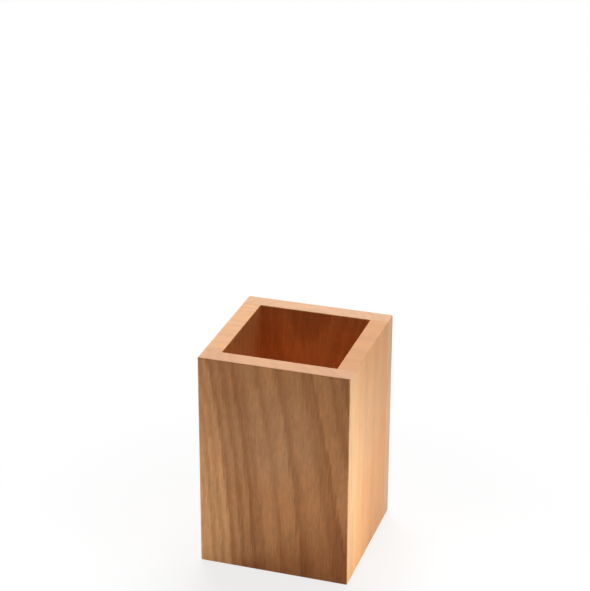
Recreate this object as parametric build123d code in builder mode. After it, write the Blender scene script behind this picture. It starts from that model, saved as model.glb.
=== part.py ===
"""Square wooden pen holder: four upright boards glued edge to face round a captured floor panel.

The front and back boards run the full width. The left and right boards stand between them, so each corner is
a plain butt joint. The floor panel has a tongue all round, which sits in a groove in the four boards.
The origin is the middle of the base, +Z is up and the front faces -Y. Sizes are in millimetres.
"""

import os

from build123d import *

# Overall size of the holder
width = 61.5
depth = 61.5
height = 91.0

# The four boards
wall = 7.5
edge_radius = 0.5

# The floor panel and its tongue
panel_thickness = 6.0
panel_recess = 1.5
tongue_thickness = 3.0

# The groove that holds the panel, and the play in it
groove_depth = 3.0
tongue_play = 0.1
tongue_end_gap = 0.4
shoulder_gap = 0.1

# The well between the boards
well_width = width - 2 * wall
well_depth = depth - 2 * wall

# Heights of the panel and its groove above the desk
tongue_bottom = panel_recess + (panel_thickness - tongue_thickness) / 2
groove_height = tongue_thickness + tongue_play

# The glued-up square tube with its edges sanded round, from which each board is cut
with BuildPart() as eased_tube:
    with BuildSketch():
        Rectangle(width, depth)
    extrude(amount=height)
    fillet(eased_tube.edges(), radius=edge_radius)
    with BuildSketch():
        Rectangle(well_width, well_depth)
    extrude(amount=height, mode=Mode.SUBTRACT)
    rim = eased_tube.faces().sort_by(Axis.Z)[-1]
    fillet(rim.inner_wires()[0].edges(), radius=edge_radius)

# Front board: full width, with a groove that stops short of both ends so that it never shows
with BuildPart() as front_wall:
    with BuildSketch():
        with Locations((0, -(depth - wall) / 2)):
            Rectangle(width, wall)
    extrude(amount=height)
    add(eased_tube.part, mode=Mode.INTERSECT)
    with BuildSketch(Plane.XZ.offset(well_depth / 2)):
        with Locations((0, tongue_bottom)):
            Rectangle(well_width + 2 * groove_depth, groove_height, align=(Align.CENTER, Align.MIN))
    extrude(amount=groove_depth, mode=Mode.SUBTRACT)

# Back board: the front board turned over
with BuildPart() as back_wall:
    mirror(front_wall.part, about=Plane.XZ)

# Right board: between front and back, with a groove along its whole width
with BuildPart() as right_wall:
    with BuildSketch():
        with Locations(((width - wall) / 2, 0)):
            Rectangle(wall, well_depth)
    extrude(amount=height)
    add(eased_tube.part, mode=Mode.INTERSECT)
    with BuildSketch(Plane.YZ.offset(well_width / 2)):
        with Locations((0, tongue_bottom)):
            Rectangle(well_depth, groove_height, align=(Align.CENTER, Align.MIN))
    extrude(amount=groove_depth, mode=Mode.SUBTRACT)

# Left board: the right board turned over
with BuildPart() as left_wall:
    mirror(right_wall.part, about=Plane.YZ)

# Floor panel: it rests on the lower lips of the grooves, with room at the tongue's ends for the wood to swell
with BuildPart() as floor_panel:
    with BuildSketch(Plane.XY.offset(panel_recess)):
        Rectangle(well_width - 2 * shoulder_gap, well_depth - 2 * shoulder_gap)
    extrude(amount=panel_thickness)
    with BuildSketch(Plane.XY.offset(tongue_bottom)):
        reach = groove_depth - tongue_end_gap
        Rectangle(well_width + 2 * reach, well_depth + 2 * reach)
    extrude(amount=tongue_thickness)

pieces = {
    "front_wall": front_wall,
    "back_wall": back_wall,
    "left_wall": left_wall,
    "right_wall": right_wall,
    "floor_panel": floor_panel,
}

os.makedirs("parts", exist_ok=True)
for name, piece in pieces.items():
    piece.part.label = name
    export_step(piece.part, f"parts/{name}.step")
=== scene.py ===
"""Looks of a square wooden pen holder: solid-wood materials on its boards, a white studio and the camera.

Every board is cut from its own log. A material works out how far each point lies from that log's pith, so
the growth rings run through the board and meet at its edges as they do in real wood. Lengths inside the
materials are in millimetres, and lengths of objects are in metres.
"""

import math
import random
from dataclasses import dataclass

import bpy
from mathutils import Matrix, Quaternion, Vector


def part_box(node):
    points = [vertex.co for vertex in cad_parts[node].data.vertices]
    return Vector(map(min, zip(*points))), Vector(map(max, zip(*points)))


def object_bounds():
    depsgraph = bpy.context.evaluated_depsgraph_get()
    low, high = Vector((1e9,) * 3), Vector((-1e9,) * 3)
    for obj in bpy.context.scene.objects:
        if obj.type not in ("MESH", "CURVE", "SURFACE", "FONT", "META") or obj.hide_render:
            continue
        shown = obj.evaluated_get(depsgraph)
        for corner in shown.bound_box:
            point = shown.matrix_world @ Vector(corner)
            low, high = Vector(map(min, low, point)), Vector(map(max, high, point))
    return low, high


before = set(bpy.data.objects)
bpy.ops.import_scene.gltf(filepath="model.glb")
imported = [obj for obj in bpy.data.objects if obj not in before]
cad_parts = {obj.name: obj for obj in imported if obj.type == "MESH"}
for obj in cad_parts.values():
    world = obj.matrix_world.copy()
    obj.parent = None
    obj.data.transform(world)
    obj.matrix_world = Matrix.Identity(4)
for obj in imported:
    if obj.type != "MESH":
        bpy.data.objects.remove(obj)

cad_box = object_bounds()

# Sizes read from the frame, in millimetres
MM = 1000.0
cad_low, cad_high = cad_box
width = (cad_high.x - cad_low.x) * MM
depth = (cad_high.y - cad_low.y) * MM
height = (cad_high.z - cad_low.z) * MM
wall = (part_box("front_wall")[1].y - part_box("front_wall")[0].y) * MM
well_width = width - 2 * wall
well_depth = depth - 2 * wall

# Marks in the wood: millimetres across and along the grain, then the noise's detail and roughness
mark_sizes = {
    "wander": (14.0, 45.0, 2.0, 0.5),
    "column": (1.4, 24.0, 2.0, 0.6),
    "fibre": (0.5, 7.0, 2.0, 0.6),
    "streak": (0.7, 10.0, 3.0, 0.65),
    "dash": (0.6, 3.0, 2.0, 0.6),
    "hair": (0.25, 6.0, 2.0, 0.6),
    "pore": (0.2, 2.6, 1.0, 0.5),
    "fleck": (0.55, 3.2, 1.0, 0.4),
    "haze": (4.0, 15.0, 3.0, 0.6),
    "slow": (26.0, 60.0, 1.0, 0.5),
}

# Marks that are spots, with the noise levels at which a spot starts and is full
spots = {"pore": (0.30, 0.55), "fleck": (0.62, 0.74)}

# Marks that are as strong as the board's figure
figured = ("streak", "dash", "haze")

# Distance between the boards' places in the noise, so that no two boards have the same marks
board_offset = 100.0

# What each mark adds to the radius at which the wood grew, in millimetres
ring_shift = {"wander": 0.9, "column": 1.6, "fibre": 1.1}

# What each mark adds to the lightness of the broad sides and of the narrow ones
fine_light = {"hair": 0.13, "pore": -0.09, "fleck": -0.25}
broad_light = {**fine_light, "streak": 0.24, "dash": 0.20, "haze": 0.16, "slow": 0.09}
side_light = {**fine_light, "late": -0.15, "streak": 0.08, "haze": 0.09}

# Gloss, and what each mark adds to the roughness and, in millimetres, to the relief
specular_level = 0.15
base_roughness = 0.5
mark_roughness = {"streak": 0.05, "pore": 0.12, "end_grain": 0.12, "late": -0.05}
mark_relief = {"hair": 0.006, "pore": -0.02, "late": 0.006, "glue": -0.03}

# Shares of a growth ring that its dark line takes on the line's outer and inner sides
line_outside = 0.22
line_inside = 0.42

# The widest ring that has no even stretch between its lines, and the width of the last ring
narrow_ring = 4.9

# Contrast of the rings about their middle darkness, above the first height and below the second
middle_ring = 0.35
contrasts = (0.87, 1.12)
contrast_heights = (0.7 * height, 0.3 * height)

# Rings drawn at random: darkness of their lines and of their early wood, and shares of the usual width
late_range = (0.5, 0.95)
early_range = (0.0, 0.3)
width_range = (0.6, 1.5)

# How squarely a surface has to face an axis to start to count as a broad side or an end, and to count fully
facing_limits = (0.45, 0.9)

# Plain white, which changes nothing as a tint
white = (1.0, 1.0, 1.0, 1.0)

# Heartwood is redder and sapwood paler, and a log's taper brings its sapwood further in at the foot
heart_tint = (0.98, 0.93, 0.85, 1.0)
sap_tint = (1.21, 1.35, 1.38, 1.0)
taper = 6.0

# Painted shade at the foot, darker towards the desk. Places in the log go from 0 at the board's innermost
# ring to 1 at its outermost
foot_shade_tint = (0.76, 0.65, 0.58, 1.0)
foot_shade_places = (0.82, 0.72)
foot_shade_climb_places = (0.75, 0.1)
foot_shade_climb_heights = (7.0, 45.0)
foot_shade_wander = 2.0

# Painted sheen in the middle of a board, paler and greyer: its height above the desk, and how far it
# reaches from there
sheen_tint = (1.01, 1.10, 1.25, 1.0)
sheen_height = 60.0
sheen_sideways = 24.0
sheen_upwards = 28.0

# Painted warm bounce light on the foot of the right side, more orange: where it ends above the desk and
# behind the middle, and how far in from the right side
bounce_tint = (1.01, 0.93, 0.79, 1.0)
bounce_height = 50.0
bounce_back = 25.0
bounce_edge = (1.0, 0.3)

# Painted light inside the well, brighter and yellower: depths into its walls at which the tint starts and
# is full
well_light_tint = (1.14, 1.12, 0.96, 1.0)
well_light_edge = (0.3, 0.1)

# Rubbed edges, paler from wear and from a painted highlight: distances from the edge at which they start
# and are full
edge_wear_and_highlight = 0.12
edge_wear_and_highlight_reach = (0.9, 0.1)
edge_wear_and_highlight_wander = 0.3

# Glue line: distances from the joint at which it starts and is full, and how softly it stops at the well
glue_light = -0.2
glue_edge = (0.2, 0.04)
glue_end = 0.02


def colour(red, green, blue):
    """A colour written as it looks on screen, 0 to 255, as the linear colour that shaders take."""
    def linear(value):
        share = value / 255
        return share / 12.92 if share <= 0.04045 else ((share + 0.055) / 1.055) ** 2.4
    return (linear(red), linear(green), linear(blue), 1.0)


def material(name):
    """A new material that has a node graph."""
    made = bpy.data.materials.new(name)
    made.use_nodes = True
    return made


class Graph:
    """A node graph, written as sums: each method adds a node and returns its output."""

    def __init__(self, tree):
        self.tree = tree
        tree.nodes.clear()

    def node(self, kind, inputs=None, **settings):
        new = self.tree.nodes.new(kind)
        for name, value in settings.items():
            setattr(new, name, value)
        for key, value in (inputs or {}).items():
            if isinstance(value, bpy.types.NodeSocket):
                self.tree.links.new(value, new.inputs[key])
            else:
                new.inputs[key].default_value = value
        return new

    def math(self, operation, *values):
        return self.node("ShaderNodeMath", dict(enumerate(values)), operation=operation).outputs[0]

    def chain(self, operation, values):
        total = values[0]
        for value in values[1:]:
            total = self.math(operation, total, value)
        return total

    def add(self, *values):
        return self.chain("ADD", values)

    def times(self, *values):
        return self.chain("MULTIPLY", values)

    def minimum(self, *values):
        return self.chain("MINIMUM", values)

    def maximum(self, *values):
        return self.chain("MAXIMUM", values)

    def minus(self, a, b):
        return self.math("SUBTRACT", a, b)

    def divide(self, a, b):
        return self.math("DIVIDE", a, b)

    def absolute(self, value):
        return self.math("ABSOLUTE", value)

    def square(self, value):
        return self.times(value, value)

    def line(self, value, slope, start):
        """A straight line: start, plus slope times value."""
        return self.math("MULTIPLY_ADD", value, slope, start)

    def fade(self, value, start, end, low=0.0, high=1.0):
        """Goes smoothly from low to high as value goes from start to end."""
        inputs = {"Value": value, "From Min": start, "From Max": end, "To Min": low, "To Max": high}
        return self.node("ShaderNodeMapRange", inputs, interpolation_type="SMOOTHSTEP").outputs[0]

    def vector(self, x, y, z):
        return self.node("ShaderNodeCombineXYZ", {0: x, 1: y, 2: z}).outputs[0]

    def split(self, vector):
        return self.node("ShaderNodeSeparateXYZ", {0: vector}).outputs[:3]

    def scale(self, vector, factor):
        return self.node("ShaderNodeVectorMath", {0: vector, 3: factor}, operation="SCALE").outputs[0]

    def noise(self, vector, detail, roughness):
        """Noise about zero, from about -1 to 1, with lumps about a unit across."""
        inputs = {"Vector": vector, "Scale": 1.0, "Detail": detail, "Roughness": roughness}
        return self.line(self.node("ShaderNodeTexNoise", inputs).outputs[0], 2.0, -1.0)

    def mix(self, share, a, b):
        """A colour that goes from a to b as share goes from 0 to 1."""
        inputs = {"Factor": share, 6: a, 7: b}
        return self.node("ShaderNodeMix", inputs, data_type="RGBA", clamp_factor=True).outputs[2]

    def tint(self, tone, *tints):
        """A colour times other colours."""
        for factor in tints:
            tone = self.node("ShaderNodeVectorMath", {0: tone, 1: factor}, operation="MULTIPLY").outputs[0]
        return tone

    def ramp(self, value, stops):
        """A level that follows (place, level) stops, with places from 0 to 1."""
        new = self.node("ShaderNodeValToRGB", {0: value})
        ramp = new.color_ramp
        ramp.interpolation = "EASE"
        while len(ramp.elements) < len(stops):
            ramp.elements.new(1.0)
        for element, (place, level) in zip(ramp.elements, stops):
            element.position = place
            element.color = (level, level, level, 1.0)
        return new.outputs[0]


@dataclass
class Board:
    """How a board lies in its log, and what its wood is like."""

    # Axes that the broad sides face and that the grain runs along
    face: str
    along: str

    # Where the log's middle runs: place, lean and bow on each of the two axes across the grain
    pith: tuple

    # Growth rings from the pith out: radius, darkness of the line, and of the early wood outside it
    rings: list

    # Colours of early and late wood on the broad sides, of the narrow sides and of the end grain
    pale: tuple
    dark: tuple
    side: tuple
    ends: tuple

    # Strength of the streaks, and of the painted shade at the foot, each from 0 to 1
    figure: float
    foot_shade: float

    def ring_span(self):
        """Radii at which the innermost ring starts and the outermost ends."""
        return self.rings[0][0], self.rings[-1][0] + narrow_ring

    def ring_stops(self):
        """Ramp stops for the rings.

        Wood darkens slowly outwards to a ring's line, and the line ends sharply.
        """
        start, end = self.ring_span()
        next_radii = [radius for radius, late, early in self.rings[1:]] + [end]
        stops = []
        for (radius, late, early), next_radius in zip(self.rings, next_radii):
            gap = next_radius - radius
            stops.append((radius, late))
            if gap > narrow_ring:
                stops.append((radius + line_outside * gap, early))
                stops.append((next_radius - line_inside * gap, early))
            else:
                stops.append((radius + (line_outside + 1 - line_inside) / 2 * gap, early))
        return [((radius - start) / (end - start), level) for radius, level in stops]


def seeded_rings(seed, start, end, ring_width):
    """Growth rings of uneven width and darkness between two radii."""
    draw = random.Random(seed)
    rings = []
    radius = start
    while radius < end:
        rings.append((radius, draw.uniform(*late_range), draw.uniform(*early_range)))
        radius += ring_width * draw.uniform(*width_range)
    return rings


class Wood(Graph):
    """The wood of one board: it finds places, marks and rings first, and then builds up the colour."""

    def __init__(self, tree, board, seed):
        super().__init__(tree)
        self.board = board
        self.marks = {}
        self.find_places()
        self.find_marks(seed)
        self.find_rings()
        self.find_glue()

    def find_places(self):
        """Where a point lies in the holder and in the grain, and which way its surface faces."""
        coordinates = self.node("ShaderNodeTexCoord").outputs
        self.x, self.y, self.z = self.split(self.scale(coordinates["Object"], MM))
        self.past_x = self.minus(self.absolute(self.x), well_width / 2)
        self.past_y = self.minus(self.absolute(self.y), well_depth / 2)
        self.past_well = self.maximum(self.past_x, self.past_y)

        # The axes across the grain, the one along it, and the holder's middle and length on that one
        axes = {
            "X": (self.y, self.z, self.x, 0.0, width),
            "Z": (self.x, self.y, self.z, height / 2, height),
        }
        self.u, self.v, self.w, middle, length = axes[self.board.along]
        self.w_share = self.line(self.w, 2 / length, -2 * middle / length)

        normal = dict(zip("XYZ", self.split(coordinates["Normal"])))
        self.broad = self.fade(self.absolute(normal[self.board.face]), *facing_limits)
        self.marks["end_grain"] = self.fade(self.absolute(normal[self.board.along]), *facing_limits)

    def find_marks(self, seed):
        """The board's own marks, drawn out along its grain."""
        own_u = self.add(self.u, seed * board_offset)
        for kind, (across, along, detail, roughness) in mark_sizes.items():
            u_lumps = self.times(own_u, 1 / across)
            v_lumps = self.times(self.v, 1 / across)
            w_lumps = self.times(self.w, 1 / along)
            mark = self.noise(self.vector(u_lumps, v_lumps, w_lumps), detail, roughness)
            if kind in spots:
                mark = self.fade(mark, *spots[kind])
            if kind in figured:
                mark = self.times(mark, self.board.figure)
            self.marks[kind] = mark

    def weigh(self, weights, start=0.0):
        """A start, plus each mark times its weight."""
        return self.add(start, *[self.times(self.marks[kind], weight) for kind, weight in weights.items()])

    def find_rings(self):
        """Growth rings round a pith that leans and bows a little on its way along."""
        offsets = []
        for place, (middle, lean, bow) in zip((self.u, self.v), self.board.pith):
            bent = self.line(self.line(self.w_share, bow, lean), self.w_share, middle)
            offsets.append(self.minus(place, bent))
        radius = self.math("SQRT", self.add(*[self.square(offset) for offset in offsets]))

        # The rings wander, and columns of fibre carry their colour past each other
        self.grown = self.weigh(ring_shift, radius)
        start, end = self.board.ring_span()
        self.outwards = self.divide(self.minus(self.grown, start), end - start)
        late = self.minus(self.ramp(self.outwards, self.board.ring_stops()), middle_ring)
        contrast = self.fade(self.z, *contrast_heights, *contrasts)
        self.marks["late"] = self.line(late, contrast, middle_ring)

    def find_glue(self):
        """The glue line where the boards meet, outside the well."""
        joint = self.fade(self.absolute(self.past_y), *glue_edge)
        self.marks["glue"] = self.times(joint, self.fade(self.past_x, -glue_end, glue_end))

    def sapwood(self):
        """Tint of the wood between the pith and the bark."""
        start, end = self.board.ring_span()
        tapered = self.minus(self.grown, self.times(self.w_share, taper))
        return self.mix(self.fade(tapered, (start + end) / 2, end + taper), heart_tint, sap_tint)

    def painted_foot_shade(self):
        """Painted shade at the foot, darker towards the desk: high near the pith and not at all near the
        bark.
        """
        climb = self.fade(self.outwards, *foot_shade_climb_places, *foot_shade_climb_heights)
        ragged = self.add(self.z, self.times(self.marks["column"], foot_shade_wander))
        shade_reach = self.fade(self.divide(ragged, climb), 1.0, 0.0)
        share = self.times(shade_reach, self.fade(self.outwards, *foot_shade_places), self.board.foot_shade)
        return self.mix(share, white, foot_shade_tint)

    def painted_sheen_middle(self):
        """Tint of the middle of a board, which is paler and greyer: a painted sheen."""
        across = {"X": self.y, "Y": self.x, "Z": self.y}[self.board.face]
        sideways = self.times(across, 1 / sheen_sideways)
        upwards = self.times(self.minus(self.z, sheen_height), 1 / sheen_upwards)
        share = self.fade(self.add(self.square(sideways), self.square(upwards)), 1.0, 0.0)
        return self.mix(share, white, sheen_tint)

    def painted_bounce_foot(self):
        """Tint of the foot of the right side, more orange towards the front: painted warm bounce light."""
        low_down = self.fade(self.z, bounce_height, 0.0)
        forward = self.fade(self.y, bounce_back, -depth / 2)
        right_side = self.fade(self.minus(width / 2, self.x), *bounce_edge)
        return self.mix(self.times(low_down, forward, right_side), white, bounce_tint)

    def painted_well_light(self):
        """Painted light inside the well: the wood there is brighter and yellower."""
        return self.mix(self.fade(self.past_well, *well_light_edge), white, well_light_tint)

    def rubbed_and_highlit_edges(self):
        """Light of the edges, paler round the outside and round the mouth of the well: partly rubbed wear,
        partly a painted highlight.
        """
        from_x = self.minus(width / 2, self.absolute(self.x))
        from_y = self.minus(depth / 2, self.absolute(self.y))
        from_top = self.minus(height, self.z)
        from_end = self.minimum(self.z, from_top)
        from_edge = self.minimum(
            self.maximum(from_x, from_y),
            self.maximum(from_x, from_end),
            self.maximum(from_y, from_end),
            self.maximum(self.absolute(self.past_well), from_top),
        )
        ragged = self.add(from_edge, self.times(self.marks["column"], edge_wear_and_highlight_wander))
        return self.line(self.fade(ragged, *edge_wear_and_highlight_reach), edge_wear_and_highlight, 1.0)

    def broad_sides(self):
        """Colour of the broad sides, with their growth rings."""
        rings = self.mix(self.marks["late"], self.board.pale, self.board.dark)
        tone = self.scale(rings, self.weigh(broad_light, 1.0))
        # The foot gets painted shade, and the middle of the board a painted sheen
        return self.tint(tone, self.sapwood(), self.painted_foot_shade(), self.painted_sheen_middle())

    def narrow_sides(self):
        """Colour of the narrow sides and of the ends, which are paler."""
        tone = self.mix(self.marks["end_grain"], self.board.side, self.board.ends)
        return self.scale(tone, self.weigh(side_light, 1.0))

    def shade(self):
        """Puts colour, gloss and relief together in a shader."""
        tone = self.mix(self.broad, self.narrow_sides(), self.broad_sides())
        # Painted warm bounce light on the right foot, and painted light inside the well
        tone = self.tint(tone, self.painted_bounce_foot(), self.painted_well_light())
        # Edges paler from wear and from a painted highlight
        tone = self.scale(tone, self.rubbed_and_highlit_edges())
        tone = self.scale(tone, self.line(self.marks["glue"], glue_light, 1.0))
        bump_inputs = {"Height": self.weigh(mark_relief), "Strength": 1.0, "Distance": 1 / MM}
        shader = self.node("ShaderNodeBsdfPrincipled", {
            "Base Color": tone,
            "Roughness": self.weigh(mark_roughness, base_roughness),
            "Specular IOR Level": specular_level,
            "Normal": self.node("ShaderNodeBump", bump_inputs).outputs[0],
        })
        self.node("ShaderNodeOutputMaterial", {"Surface": shader.outputs[0]})


# The boards, each with its place in its log
boards = {
    "front_wall": Board(
        face="Y", along="Z", figure=1.0, foot_shade=1.0,
        pith=((42.5, -3.4, -2.1), (-depth / 2 + 25.0, -3.3, 0.9)),
        rings=[
            (20.5, 0.30, 0.15),
            (24.3, 0.90, 0.35),
            (26.7, 0.72, 0.15),
            (30.6, 0.12, 0.45),
            (31.5, 0.85, 0.55),
            (33.8, 0.55, 0.12),
            (42.5, 0.60, 0.00),
            (49.6, 0.42, 0.03),
            (56.4, 0.55, 0.50),
            (58.5, 0.88, 0.32),
            (63.3, 0.80, 0.32),
            (67.2, 0.80, 0.00),
            (71.2, 0.50, 0.20),
            (74.3, 0.55, 0.25),
        ],
        pale=colour(230, 165, 112), dark=colour(183, 117, 72),
        side=colour(243, 194, 141), ends=colour(239, 184, 144)),
    "back_wall": Board(
        face="Y", along="Z", figure=0.9, foot_shade=0.6,
        pith=((-6.0, 3.0, 1.0), (depth / 2 - 26.0, 9.0, 0.0)),
        rings=seeded_rings(7, start=12, end=60, ring_width=4.8),
        pale=colour(226, 166, 118), dark=colour(192, 130, 86),
        side=colour(226, 176, 133), ends=colour(238, 190, 152)),
    "left_wall": Board(
        face="X", along="Z", figure=0.8, foot_shade=0.5,
        pith=((-width / 2 + 9.0, -2.0, 0.5), (-78.0, -2.5, 0.4)),
        rings=seeded_rings(5, start=52, end=106, ring_width=5.0),
        pale=colour(230, 176, 126), dark=colour(208, 150, 104),
        side=colour(236, 186, 142), ends=colour(244, 189, 144)),
    "right_wall": Board(
        face="X", along="Z", figure=0.5, foot_shade=0.0,
        pith=((width / 2 - 8.0, 0.6, 0.0), (77.0, 1.5, 0.4)),
        rings=seeded_rings(2, start=53, end=105, ring_width=11.0),
        pale=colour(229, 170, 117), dark=colour(219, 160, 108),
        side=colour(230, 178, 132), ends=colour(233, 174, 128)),
    "floor_panel": Board(
        face="Z", along="X", figure=0.9, foot_shade=0.0,
        pith=((-38.0, 2.0, 1.0), (-22.0, 3.0, 0.0)),
        rings=seeded_rings(11, start=24, end=70, ring_width=4.8),
        pale=colour(224, 164, 116), dark=colour(190, 128, 84),
        side=colour(226, 178, 138), ends=colour(220, 170, 130)),
}
for seed, (node, board) in enumerate(boards.items()):
    board_wood = material(f"{node}_wood")
    Wood(board_wood.node_tree, board, seed).shade()
    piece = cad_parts[node]
    piece.data.materials.clear()
    piece.data.materials.append(board_wood)

scene = bpy.context.scene
scene.view_settings.view_transform = "Standard"


def aimed(data, target, azimuth, elevation, distance):
    """A camera or a lamp that looks at a target from a distance.

    Angles are in degrees, with azimuth 0 in front of the holder and 90 to its right.
    """
    around = math.radians(azimuth)
    up = math.radians(elevation)
    away = Vector((math.sin(around) * math.cos(up), -math.cos(around) * math.cos(up), math.sin(up)))
    place = target + distance * away
    stand = bpy.data.objects.new(data.name, data)
    scene.collection.objects.link(stand)
    stand.location = place
    stand.rotation_mode = "QUATERNION"
    stand.rotation_quaternion = (target - place).to_track_quat("-Z", "Y")
    return stand


# Camera: angles in degrees, and a distance in heights of the holder
view_azimuth = 17.68
view_elevation = 24.04
view_roll = 0.23
view_distance = 8.074

# Its aim, a point over the holder: millimetres aside, and a height in heights of the holder
aim_aside = (-1.0, -0.3)
aim_height = 1.190

camera_data = bpy.data.cameras.new("camera")
camera_data.sensor_width = 36.0
camera_data.lens = 114.44
aim = Vector((*aim_aside, aim_height * height)) / MM
camera = aimed(camera_data, aim, view_azimuth, view_elevation, view_distance * height / MM)
camera.rotation_quaternion = camera.rotation_quaternion @ Quaternion((0, 0, 1), math.radians(view_roll))
scene.camera = camera


def softbox(name, azimuth, elevation, distance, size, level):
    """A rectangular lamp, size wide and high, aimed at the holder's middle.

    Level is its share of the light in which a colour renders as written.
    """
    data = bpy.data.lights.new(name, "AREA")
    data.shape = "RECTANGLE"
    data.size, data.size_y = size
    data.energy = level * math.pi ** 2 * distance ** 2
    aimed(data, Vector((0, 0, height / 2 / MM)), azimuth, elevation, distance)


softbox("key", azimuth=75, elevation=-2, distance=0.14, size=(0.07, 0.05), level=0.44)
softbox("fill", azimuth=-55, elevation=-8, distance=0.15, size=(0.06, 0.04), level=0.22)
softbox("top", azimuth=195, elevation=64, distance=0.7, size=(0.40, 0.40), level=0.98)


def seen_directly(graph):
    """1 for what the camera sees, also by reflection or through glass, and 0 for light on the holder."""
    path = graph.node("ShaderNodeLightPath").outputs
    return graph.maximum(path["Is Camera Ray"], path["Is Glossy Ray"], path["Is Transmission Ray"])


# World: even fill, with white behind the holder
world_fill = 0.08
world = bpy.data.worlds.new("studio")
world.use_nodes = True
scene.world = world
sky = Graph(world.node_tree)
strength = sky.fade(seen_directly(sky), 0.0, 1.0, world_fill, 1.0)
background = sky.node("ShaderNodeBackground", {"Color": white, "Strength": strength}).outputs[0]
sky.node("ShaderNodeOutputWorld", {"Surface": background})

# Floor finish: it glows white, and less near the holder, so that it keeps the holder's shadow
floor_colour = (0.9, 0.9, 0.9, 1.0)
shadow_reach = (0.05, 0.14)
shadow_glow = 0.78
floor_finish = material("studio_floor")
ground = Graph(floor_finish.node_tree)
place = ground.node("ShaderNodeTexCoord").outputs["Object"]
from_middle = ground.node("ShaderNodeVectorMath", {0: place}, operation="LENGTH").outputs["Value"]
glow_share = ground.times(ground.fade(from_middle, *shadow_reach, shadow_glow, 1.0), seen_directly(ground))
diffuse = ground.node("ShaderNodeBsdfDiffuse", {"Color": floor_colour}).outputs[0]
glow = ground.node("ShaderNodeEmission", {"Color": white, "Strength": 1.0}).outputs[0]
mixed = ground.node("ShaderNodeMixShader", {0: glow_share, 1: diffuse, 2: glow}).outputs[0]
ground.node("ShaderNodeOutputMaterial", {"Surface": mixed})

# Floor: a square just under the holder
floor_reach = 3.0
floor_drop = 0.0001
corners = [(x * floor_reach, y * floor_reach, 0) for x, y in ((-1, -1), (1, -1), (1, 1), (-1, 1))]
floor_mesh = bpy.data.meshes.new("studio_floor")
floor_mesh.from_pydata(corners, [], [(0, 1, 2, 3)])
floor_mesh.materials.append(floor_finish)
floor = bpy.data.objects.new("studio_floor", floor_mesh)
scene.collection.objects.link(floor)
floor.location.z = -floor_drop
